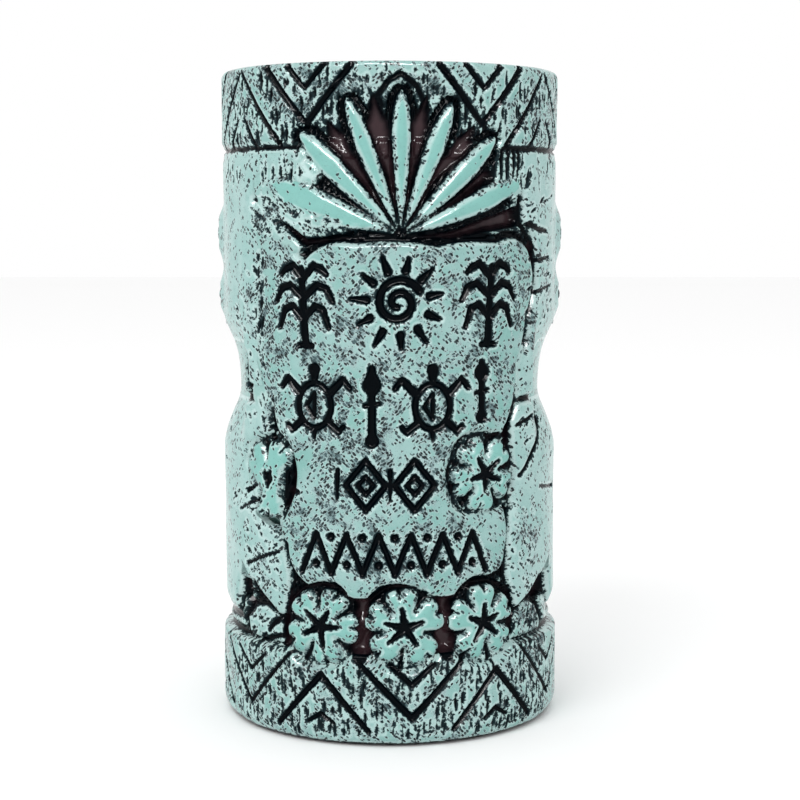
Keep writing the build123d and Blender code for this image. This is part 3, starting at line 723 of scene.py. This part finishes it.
# Soft patches where more of the black wash is left: angle, height, half width, half height and amount
speck = np.maximum(speck, patch([
    (-46.5, 106, 3.5, 12, 0.95), (-44, 123, 8, 4, 0.75), (-20, 77, 8, 9, 0.75), (-42, 76, 5, 7, 0.55),
    (8, 96, 12, 8, 0.5), (-46, 42, 7, 7, 0.55), (-40, 47, 5, 6, 0.6), (12, 60, 14, 8, 0.6),
    (-12, 62, 10, 10, 0.55), (-15, 148, 18, 8, 0.75), (-48, 148, 12, 9, 0.5), (35, 44, 8, 10, 0.4),
    (10, 44, 14, 8, 0.55), (55, 100, 5, 14, 0.5), (56, 27, 7, 5, 0.8), (-50, 34, 6, 5, 0.5),
    (52, 50, 8, 8, 0.3), (66, 112, 7, 10, 0.35), (56, 12, 10, 8, 0.4), (0, 12, 24, 9, 0.55),
    (58, 18, 10, 12, 0.7), (-20, 84, 7, 9, 0.7), (36, 84, 7, 8, 0.6), (2, 47, 26, 10, 0.8),
    (-12, 66, 9, 8, 0.85), (54, 46, 8, 12, 0.42), (-26, 152, 16, 7, 1), (2, 152, 20, 5, 0.85),
    (-50, 104, 6, 14, 0.5),
], 0.45))
for node, amount in [(leaf, 0.02) for leaf in LEAVES] + [(flower, 0.17) for flower in FLOWERS]:
    at, depth = node_field(node)
    speck[at] = np.where(depth > -0.3, amount + 0.5 * (1 - smooth(0.3, 1.3, depth)), speck[at])

PAINTED_FOOT_SHADOW = 0.9             # painted contact shadow: a dark line along the foot where the mug meets the table
TUCK = 1.2                  # what lies behind a raised piece falls back by this share of the way inside it
# The wash field also carries a painted contact shadow along the foot, darkest at the very bottom.
FIELDS = {"radius": surface, "edge": np.where(np.abs(trim) < np.abs(wall), trim, wall) + 4 * merged,
          "ink_and_foot_shadow": np.maximum(np.maximum(cut, recess), PAINTED_FOOT_SHADOW - Z_ALL), "speck": speck, "pool": pool,
          "body": np.maximum(surface - TUCK * np.maximum(wall, 0), ground),
          "slope_z": np.gradient(surface, UP, axis=0),
          "slope_s": np.gradient(np.pad(surface, ((0, 0), (1, 1)), mode="wrap"), STEP, axis=1)[:, 1:-1]}


def sample(name, theta, z):
    """A field's values at points on the wall."""
    field = FIELDS[name]
    x = ((theta + 180) % 360) / 360 * COLUMNS
    y = np.clip(z / HEIGHT * (ROWS - 1), 0, ROWS - 1.001)
    i, j = x.astype(int) % COLUMNS, y.astype(int)
    fx, fy = x - np.floor(x), y - j
    k = (i + 1) % COLUMNS
    low = field[j, i] * (1 - fx) + field[j, k] * fx
    high = field[j + 1, i] * (1 - fx) + field[j + 1, k] * fx
    return low * (1 - fy) + high * fy


# ---------------- meshes
def new_piece(name, co, quads, tris, values, normals):
    """A mesh object from millimetre vertices, with one float attribute for each entry in values."""
    me = bpy.data.meshes.new(name)
    loops = np.concatenate([quads.ravel(), tris.ravel()]).astype(np.int32)
    sizes = np.concatenate([np.full(len(quads), 4), np.full(len(tris), 3)])
    me.vertices.add(len(co))
    me.vertices.foreach_set("co", (co / 1000).astype(np.float32).ravel())
    me.loops.add(len(loops))
    me.loops.foreach_set("vertex_index", loops)
    me.polygons.add(len(sizes))
    me.polygons.foreach_set("loop_start", np.concatenate([[0], np.cumsum(sizes)[:-1]]).astype(np.int32))
    me.polygons.foreach_set("use_smooth", np.ones(len(sizes), bool))
    me.update(calc_edges=True)
    for key, value in values.items():
        layer = me.attributes.new(key, "FLOAT", "POINT")
        layer.data.foreach_set("value", value.astype(np.float32))
    me.normals_split_custom_set_from_vertices(normals.astype(np.float32))
    ob = bpy.data.objects.new(name, me)
    bpy.context.scene.collection.objects.link(ob)
    return ob


def wall_values(theta, z):
    """The shader's fields at points on the wall."""
    return {name: sample(name, theta, z) for name in ("edge", "ink_and_foot_shadow", "speck", "pool")}


def on_wall(theta, z, radius):
    """Wall points as x, y and z."""
    a = np.radians(theta)
    return np.stack([radius * np.sin(a), -radius * np.cos(a), z], -1)


def field_normals(theta, z):
    """Unit normals of the carved surface at points on the wall, from the field's slope."""
    a = np.radians(theta)
    around = sample("slope_s", theta, z)
    rising = sample("slope_z", theta, z) - drop_slope(z)
    n = np.stack([np.sin(a) - around * np.cos(a), -np.cos(a) - around * np.sin(a), -rising], -1)
    return n / np.linalg.norm(n, axis=-1, keepdims=True)


THINNEST = 0.15             # a relief piece is at least this thick


def relief_piece(name, middle, s, z, depth, base_radius, spacing, ring=False):
    """A closed piece: the carved surface over an outline, down to the wall that it sits on."""
    gz, gs = np.gradient(depth, z, s)
    size = np.maximum(np.hypot(gs, gz), 0.3)
    near = np.abs(depth) < 0.5 * spacing
    ss, zz = np.broadcast_to(s, depth.shape).copy(), np.broadcast_to(z[:, None], depth.shape).copy()
    ss[near] -= (depth * gs / size ** 2)[near]
    zz[near] -= (depth * gz / size ** 2)[near]
    good = depth > -0.5 * spacing
    columns = depth.shape[1]
    a = np.arange(depth.shape[0] - 1)[:, None]
    b = np.arange(columns if ring else columns - 1)[None, :]
    b2 = (b + 1) % columns
    corners = np.stack(np.broadcast_arrays(a * columns + b, a * columns + b2, (a + 1) * columns + b2,
                                           (a + 1) * columns + b), -1).reshape(-1, 4)
    ok = good.ravel()[corners]
    quads = corners[ok.all(1)]
    three = corners[ok.sum(1) == 3]
    keep3 = ok[ok.sum(1) == 3]
    tris = three[keep3].reshape(-1, 3)
    used = np.unique(np.concatenate([quads.ravel(), tris.ravel()]))
    index = np.full(depth.size, -1)
    index[used] = np.arange(len(used))
    quads, tris = index[quads], index[tris]
    n = len(used)
    theta = middle + ss.ravel()[used] / arc(1)
    height = zz.ravel()[used]
    top = np.maximum(sample("radius", theta, height) - drop(height), base_radius + THINNEST)
    directed = np.concatenate([quads[:, [0, 1]], quads[:, [1, 2]], quads[:, [2, 3]], quads[:, [3, 0]],
                               tris[:, [0, 1]], tris[:, [1, 2]], tris[:, [2, 0]]])
    code = directed[:, 0].astype(np.int64) * n + directed[:, 1]
    back = directed[:, 1].astype(np.int64) * n + directed[:, 0]
    rim = directed[~np.isin(code, back)]
    skirt = np.stack([rim[:, 1], rim[:, 0], rim[:, 0] + n, rim[:, 1] + n], 1)
    co = np.concatenate([on_wall(theta, height, top), on_wall(theta, height, np.full(n, base_radius))])
    all_quads = np.concatenate([quads, quads[:, ::-1] + n, skirt])
    all_tris = np.concatenate([tris, tris[:, ::-1] + n])
    values = {key: np.tile(value, 2) for key, value in wall_values(theta, height).items()}
    outward = field_normals(theta, height)
    return new_piece(name, co, all_quads, all_tris, values, np.concatenate([outward, -outward]))


def outline_relief(node, base_radius, spacing):
    """The relief piece over one CAD node's outline."""
    middle, loops = OUTLINES[node]
    points = np.concatenate(loops)
    margin = 1.5 * spacing
    s = np.arange(points[:, 0].min() - margin, points[:, 0].max() + margin, spacing)
    z = np.arange(points[:, 1].min() - margin, points[:, 1].max() + margin, spacing)
    depth = loops_distance(loops, *np.meshgrid(s, z))
    return relief_piece(f"v_{node}", middle, s, z, depth, base_radius, spacing)


# ---------------- the turned pieces
def lathe_grid(theta, rows):
    """Quads joining rings of len(theta) points, with the two ends closed round the axis by fans."""
    n = len(theta)
    a = np.arange(rows - 1)[:, None] * n
    b = np.arange(n)[None, :]
    b2 = (b + 1) % n
    return np.stack(np.broadcast_arrays(a + b, a + b2, a + n + b2, a + n + b), -1).reshape(-1, 4)


def lathe(name, theta, profile, carved=None):
    """A closed turned piece. profile runs from the axis underneath, out, up and back to the axis.

    Rows listed in carved take their radius and normals from the field instead of the profile.
    """
    n = len(theta)
    profile = np.array(profile)
    inner = profile[1:-1]
    radius = np.repeat(inner[:, :1], n, 1)
    z = np.repeat(inner[:, 1:], n, 1)
    angle = np.broadcast_to(theta, z.shape)
    tangent = np.gradient(profile, axis=0)[1:-1]
    tangent /= np.linalg.norm(tangent, axis=1, keepdims=True) + 1e-12
    a = np.radians(angle)
    normal = np.stack([tangent[:, 1:] * np.sin(a), -tangent[:, 1:] * np.cos(a),
                       np.repeat(-tangent[:, :1], n, 1)], -1)
    values = {"edge": np.full(z.shape, 3.0), "ink_and_foot_shadow": np.full(z.shape, -3.0), "speck": np.zeros(z.shape),
              "pool": np.full(z.shape, -3.0)}
    if carved is not None:
        rows = np.nonzero(carved[1:-1])[0]
        lip = z[rows] > RIM_HIGH
        height = z[rows]
        outside = sample("radius", angle[rows], height) - drop(height)
        behind = sample("body", angle[rows], height)
        behind = np.where(height < FOOT_EDGE, np.minimum(behind, outside - GLAZE), behind)
        radius[rows] = np.where(lip, outside, behind)
        normal[rows] = field_normals(angle[rows], height)
        for key, value in wall_values(angle[rows], height).items():
            values[key][rows] = value
    co = on_wall(angle, z, radius).reshape(-1, 3)
    ends = np.array([(0, 0, profile[0][1]), (0, 0, profile[-1][1])])
    first, last = len(co), len(co) + 1
    around = np.arange(n)
    top = (len(inner) - 1) * n
    tris = np.concatenate([
        np.stack([np.full(n, first), (around + 1) % n, around], 1),
        np.stack([np.full(n, last), top + around, top + (around + 1) % n], 1)])
    flat = np.array([(0, 0, -1.0), (0, 0, 1.0)])
    values = {key: np.concatenate([value.ravel(), value.ravel()[[0, -1]]]) for key, value in values.items()}
    return new_piece(name, np.concatenate([co, ends]), lathe_grid(theta, len(inner)), tris, values,
                     np.concatenate([normal.reshape(-1, 3), flat]))


def fillet_points(corner, radius, start, end, steps=6):
    """Points round a quarter circle in the profile plane, between two turns in degrees."""
    turns = np.radians(np.linspace(start, end, steps))
    return [(corner[0] + radius * cos(t), corner[1] + radius * sin(t)) for t in turns]


def cavity(offset):
    """The profile of the inside wall, from the mouth down to the axis, offset inwards."""
    r, m = CAVITY_R - offset, MOUTH_R - offset
    floor = FLOOR_Z + offset
    bend = FLOOR_ROUND - offset
    down = [(m, z) for z in np.linspace(HEIGHT - LIP_ROUND, MOUTH_Z, 6)]
    down += [(part_way(r, m, t), part_way(CAVITY_SHOULDER_Z, MOUTH_Z, t)) for t in (0.75, 0.5, 0.25)]
    down += [(r, z) for z in np.linspace(CAVITY_SHOULDER_Z, floor + bend + 1, 8)]
    down += fillet_points((r - bend, floor + bend), bend, 0, -90)
    return down + [(16, floor), (0, floor)]


# The body's columns are closer together round the fan, where its grooves show most
FINE_HALF = 62
FRONT_THETA = np.arange(FAN_ANGLE - FINE_HALF, FAN_ANGLE + FINE_HALF, degrees(0.5 / R))
BACK_THETA = np.arange(FAN_ANGLE + FINE_HALF, FAN_ANGLE + 360 - FINE_HALF, degrees(1.0 / R))
body_theta = np.concatenate([FRONT_THETA, BACK_THETA])
BODY_ROWS = 248
lip_turns = np.radians(np.linspace(0, 82, 8))
outer_z = np.concatenate([np.linspace(0, RIM_HIGH - 0.02, BODY_ROWS), [RIM_HIGH + 0.001],
                          np.linspace(RIM_HIGH + 0.5, HEIGHT - LIP_ROUND, 4)[:-1],
                          HEIGHT - LIP_ROUND + LIP_ROUND * np.sin(lip_turns)])
body_profile = [(0, FOOT_RECESS_Z), (20, FOOT_RECESS_Z), (FOOT_RECESS_R - 0.8, FOOT_RECESS_Z),
                (FOOT_RECESS_R, 0.7), (FOOT_RECESS_R + 0.8, 0.0), (36.5, 0.0)]
underside = len(body_profile)
body_profile += [(RIM_R, z) for z in outer_z]
lip_end = len(body_profile)
body_profile += [(RIM_R - LIP_ROUND - 0.3, HEIGHT)]
body_profile += fillet_points((MOUTH_R + LIP_ROUND, HEIGHT - LIP_ROUND), LIP_ROUND, 90, 180, 7)[:-1]
body_profile += cavity(0.0)
carved = np.zeros(len(body_profile), bool)
carved[underside:lip_end] = True
mug_body = lathe("v_mug_body", body_theta, body_profile, carved)

liner_profile = [(0, FLOOR_Z + 0.02)] + [(r - 0.02, z) for r, z in cavity(0.0)[::-1][1:]]
liner_top = HEIGHT - LIP_ROUND + 0.15
liner_profile += [(MOUTH_R - 0.1, liner_top), (MOUTH_R - GLAZE + 0.1, liner_top)]
liner_profile += cavity(GLAZE)
liner_glaze = lathe("v_liner_glaze", np.arange(-180, 180, 3.0), liner_profile)

# ---------------- the relief pieces
PIECES = {"mug_body": mug_body, "liner_glaze": liner_glaze}


def band(node, distance, base_radius, spacing):
    """A carved band right round the mug."""
    low, high = (c.z * 1000 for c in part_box(node))
    steps = int(round(tau * R / spacing))
    s = (np.arange(steps) / steps - 0.5) * tau * R
    z = np.linspace(low, high, int(round((high - low) / spacing)) + 1)
    depth = distance(*np.meshgrid(s / arc(1), z))
    return relief_piece(f"v_{node}", 0.0, s, z, depth, base_radius, spacing, ring=True)


OVERLAP = 0.3               # a raised piece reaches this far into what it sits on


def inner_radius(node):
    """How far in a raised piece reaches."""
    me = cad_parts[node].data
    return min(hypot(v.co.x, v.co.y) for v in me.vertices) * 1000 - OVERLAP


# The spacing of the pieces' meshes
RIM_SPACING, BASE_SPACING, LARGE_SPACING, SMALL_SPACING = 0.4, 0.42, 0.45, 0.33

PIECES["rim_band"] = band("rim_band", rim_distance, COLLAR_R - OVERLAP, RIM_SPACING)
PIECES["base_band"] = band("base_band", base_distance, FOOT_R - 0.8, BASE_SPACING)
for node in OUTLINES:
    large = node in ("face_panel", "torso") or node.split("_")[0] in FIGURE_NODES
    PIECES[node] = outline_relief(node, inner_radius(node), LARGE_SPACING if large else SMALL_SPACING)


# ---------------- glazes
def linear(*rgb):
    """A colour given as 0 to 255 screen values."""
    c = np.array(rgb) / 255
    return (*np.where(c < 0.04045, c / 12.92, ((c + 0.055) / 1.055) ** 2.4), 1.0)


class Graph:
    """The nodes of one material, with short calls for the common ones."""

    def __init__(self, name):
        self.material = bpy.data.materials.new(name)
        self.material.use_nodes = True
        self.tree = self.material.node_tree
        self.tree.nodes.clear()

    def add(self, kind, inputs, **settings):
        """A node with its settings made and its inputs set or linked."""
        node = self.tree.nodes.new(kind)
        for key, value in settings.items():
            setattr(node, key, value)
        for key, value in inputs.items():
            if isinstance(value, bpy.types.NodeSocket):
                self.tree.links.new(value, node.inputs[key])
            else:
                node.inputs[key].default_value = value
        return node

    def math(self, operation, *values):
        return self.add("ShaderNodeMath", dict(enumerate(values)), operation=operation).outputs[0]

    def plus(self, a, b):
        return self.math("ADD", a, b)

    def minus(self, a, b):
        return self.math("SUBTRACT", a, b)

    def times(self, a, b):
        return self.math("MULTIPLY", a, b)

    def ramp(self, value, low, high, start=0.0, end=1.0):
        """A smooth change from start to end as value goes from low to high."""
        inputs = {"Value": value, "From Min": low, "From Max": high, "To Min": start, "To Max": end}
        return self.add("ShaderNodeMapRange", inputs, interpolation_type="SMOOTHSTEP").outputs[0]

    def mix(self, factor, a, b):
        return self.add("ShaderNodeMix", {0: factor, 6: a, 7: b}, data_type="RGBA").outputs[2]

    def noise(self, vector, scale, detail=2.0, roughness=0.5):
        inputs = {"Vector": vector, "Scale": scale, "Detail": detail, "Roughness": roughness}
        return self.add("ShaderNodeTexNoise", inputs).outputs["Fac"]

    def value(self, name):
        """A float that the mesh carries at its vertices."""
        return self.add("ShaderNodeAttribute", {}, attribute_name=name).outputs["Fac"]


# The black wash: in strokes, in their thin edges, in pools and in specks. The darkest black and the thin
# edges' colour also paint a contact shadow along the foot.
INK_AND_FOOT_SHADOW, INK_THIN, INK_WARM = linear(1, 5, 9), linear(28, 43, 47), linear(56, 39, 43)
SPECK, SPECK_WORN = linear(8, 18, 22), linear(66, 88, 91)

# What lies over the glaze's own colour: dull clouds, pale edges where the glaze thins that are partly a
# painted highlight, haze, rings round specks and a dark wash
CLOUD, PALE_GLAZE_AND_HIGHLIGHT, HAZE = linear(114, 158, 154), linear(194, 218, 216), linear(160, 182, 183)
HALO, WASH = linear(186, 209, 208), linear(66, 98, 103)
DIAGONAL = 0.7071


def glaze(name, light, dark, edge_width=1.1):
    """A glossy aqua glaze with pale edges, partly thinner glaze and partly a painted highlight, black wash in
    its cuts, valleys and nicks, and a painted contact shadow along the foot.
    """
    g = Graph(name)
    place = g.add("ShaderNodeTexCoord", {}).outputs["Object"]
    place = g.add("ShaderNodeVectorMath", {0: place, "Scale": 1000.0}, operation="SCALE").outputs[0]
    axes = g.add("ShaderNodeSeparateXYZ", {0: place}).outputs
    s = g.times(g.math("ARCTAN2", axes[0], g.times(axes[1], -1.0)), R)
    along = g.times(g.minus(s, axes[2]), DIAGONAL)
    across = g.times(g.plus(s, axes[2]), DIAGONAL)

    cloud = g.noise(place, 0.11, 3.0)
    mottle = g.noise(place, 0.45, 3.0)
    drift = g.noise(place, 0.15, 2.0)
    fine = g.noise(place, 1.7, 3.0, 0.6)
    grain = g.noise(place, 4.5, 2.0, 0.6)
    torn = g.noise(place, 0.9, 2.0, 0.5)

    # Wash in the strokes and valleys, and the painted contact shadow along the foot, with a ragged edge
    ink_and_foot_shadow, pool = g.value("ink_and_foot_shadow"), g.value("pool")
    ragged = g.times(g.minus(g.plus(fine, torn), 1.0), 0.95)
    recess = g.ramp(g.plus(ink_and_foot_shadow, ragged), -0.20, 0.02)

    # Short slanting dashes, leaning one way or the other from place to place
    patchy = g.times(g.value("speck"), g.ramp(mottle, 0.34, 0.66, 0.35, 1.7))
    patchy = g.times(patchy, g.ramp(drift, 0.36, 0.64, 0.50, 1.6))
    swap = g.times(g.math("GREATER_THAN", g.noise(place, 0.2, 1.0), 0.53), g.minus(across, along))
    run, side = g.plus(along, swap), g.minus(across, swap)
    jitter = g.times(g.minus(fine, 0.5), 0.5)
    cell = {0: g.times(run, 0.82), 1: g.plus(g.times(side, 1.55), jitter)}
    cell = g.add("ShaderNodeCombineXYZ", cell).outputs[0]
    spots = g.add("ShaderNodeTexVoronoi", {"Vector": cell, "Scale": 1.0, "Randomness": 0.9},
                  voronoi_dimensions="2D").outputs
    random = g.add("ShaderNodeSeparateColor", {0: spots["Color"]}).outputs
    chosen = g.math("LESS_THAN", random[0], patchy)
    reach = g.minus(spots["Distance"], g.times(random[1], 0.16))
    dash = g.times(g.ramp(reach, 0.30, 0.37, 1.0, 0.0), chosen)
    halo = g.times(g.ramp(reach, 0.38, 0.60, 0.65, 0.0), chosen)
    freckle = g.ramp(g.minus(grain, g.times(patchy, 0.10)), 0.27, 0.33, 1.0, 0.0)
    marks = g.math("MAXIMUM", dash, freckle)

    colour = g.mix(g.ramp(cloud, 0.3, 0.7), light, dark)
    colour = g.mix(g.times(g.ramp(mottle, 0.45, 0.75), 0.25), colour, CLOUD)
    # Pale bands inside the outlines and beside the strokes: partly thinner glaze over the edges, partly a
    # painted highlight.
    outline = g.value("edge")
    pale_edge_and_highlight = g.times(g.ramp(outline, edge_width, 0.4), g.ramp(outline, -0.3, 0.0))
    pale_edge_and_highlight = g.math("MAXIMUM", pale_edge_and_highlight, g.times(g.ramp(ink_and_foot_shadow, -0.9, -0.35), 0.7))
    colour = g.mix(g.times(pale_edge_and_highlight, 0.72), colour, PALE_GLAZE_AND_HIGHLIGHT)
    colour = g.mix(g.times(g.ramp(patchy, 0.20, 0.95), 0.55), colour, HAZE)
    colour = g.mix(halo, colour, HALO)
    colour = g.mix(g.ramp(patchy, 0.55, 1.5, 0.0, 0.62), colour, WASH)
    speck_colour = g.mix(g.ramp(random[2], 0.35, 0.95), SPECK, SPECK_WORN)
    colour = g.mix(g.times(marks, 0.97), colour, speck_colour)
    deep = g.mix(g.ramp(g.plus(pool, g.times(mottle, 1.6)), 0.9, 3.4), INK_AND_FOOT_SHADOW, INK_WARM)
    deep = g.mix(g.ramp(ink_and_foot_shadow, -0.05, 0.32), INK_THIN, deep)
    colour = g.mix(recess, colour, deep)

    height = g.plus(g.times(fine, 0.5), g.times(mottle, 0.9))
    height = g.minus(height, g.times(marks, 0.5))
    bump = g.add("ShaderNodeBump", {
        "Strength": g.ramp(recess, 0.0, 1.0, 0.40, 0.22), "Distance": 0.00022, "Height": height}).outputs[0]
    specular = g.plus(g.ramp(recess, 0.0, 1.0, 0.30, 0.06), g.ramp(pool, 0.9, 2.0, 0.0, 0.22))
    shade = g.add("ShaderNodeBsdfPrincipled", {
        "Base Color": colour, "Roughness": g.ramp(recess, 0.0, 1.0, 0.16, 0.07), "IOR": 1.4, "Normal": bump,
        "Specular IOR Level": specular})
    g.add("ShaderNodeOutputMaterial", {"Surface": shade.outputs[0]})
    return g.material


SLOTS = {
    "vessel_glaze": glaze("vessel_glaze", linear(152, 186, 182), linear(136, 178, 173)),
    "inner_glaze": glaze("inner_glaze", linear(150, 198, 192), linear(140, 190, 184)),
    "speckled_glaze": glaze("speckled_glaze", linear(150, 184, 181), linear(126, 173, 167)),
    "leaf_glaze": glaze("leaf_glaze", linear(130, 184, 177), linear(122, 177, 170), 1.5),
    "figure_glaze": glaze("figure_glaze", linear(160, 192, 189), linear(145, 184, 180)),
}


def slot_of(node):
    """The record's finish for a node."""
    if node == "mug_body":
        return "vessel_glaze"
    if node == "liner_glaze":
        return "inner_glaze"
    if node in ("tablet", "rim_band", "base_band", "heel_left", "heel_right"):
        return "speckled_glaze"
    if node.startswith(("leaf", "flower")):
        return "leaf_glaze"
    return "figure_glaze"


for node, piece in PIECES.items():
    piece.data.materials.append(SLOTS[slot_of(node)])
    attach(piece, "root")
    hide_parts(node)


# ---------------- studio
scene = bpy.context.scene
scene.view_settings.view_transform = "Standard"
world = bpy.data.worlds.new("studio")
scene.world = world
world.use_nodes = True
world.node_tree.nodes["Background"].inputs[0].default_value = (1, 1, 1, 1)
world.node_tree.nodes["Background"].inputs[1].default_value = 1.0

bpy.ops.mesh.primitive_plane_add(size=6.0)
floor = bpy.context.object
floor.name = "floor"
paper = bpy.data.materials.new("paper")
paper.use_nodes = True
paper.node_tree.nodes["Principled BSDF"].inputs["Base Color"].default_value = (0.95, 0.95, 0.95, 1)
paper.node_tree.nodes["Principled BSDF"].inputs["Roughness"].default_value = 0.9
floor.data.materials.append(paper)


def softbox(name, place, target, width, height, power, highlights_only):
    """A rectangular light at place that faces target, sizes in metres."""
    data = bpy.data.lights.new(name, "AREA")
    data.shape = "RECTANGLE"
    data.size, data.size_y = width, height
    data.energy = power
    light = bpy.data.objects.new(name, data)
    light.location = place
    light.rotation_euler = (Vector(target) - Vector(place)).to_track_quat("-Z", "Y").to_euler()
    light.visible_diffuse = not highlights_only
    scene.collection.objects.link(light)


softbox("key", (-0.5, -0.9, 1.1), (0, 0, 0.08), 0.7, 0.7, 6.0, False)
softbox("glint", (-0.04, -0.55, 0.60), (0, 0, 0.14), 0.60, 0.12, 19.0, True)

CAMERA_X, CAMERA_DISTANCE, CAMERA_Z, AIM_Z = 0.0026, 0.445, 0.124, 0.0772
camera_data = bpy.data.cameras.new("camera")
camera_data.lens = 80.1
camera_data.sensor_width = 36.0
camera = bpy.data.objects.new("camera", camera_data)
camera.location = (CAMERA_X, -CAMERA_DISTANCE, CAMERA_Z)
aim = Vector((CAMERA_X, 0.0, AIM_Z)) - camera.location
camera.rotation_euler = aim.to_track_quat("-Z", "Y").to_euler()
scene.collection.objects.link(camera)
scene.camera = camera
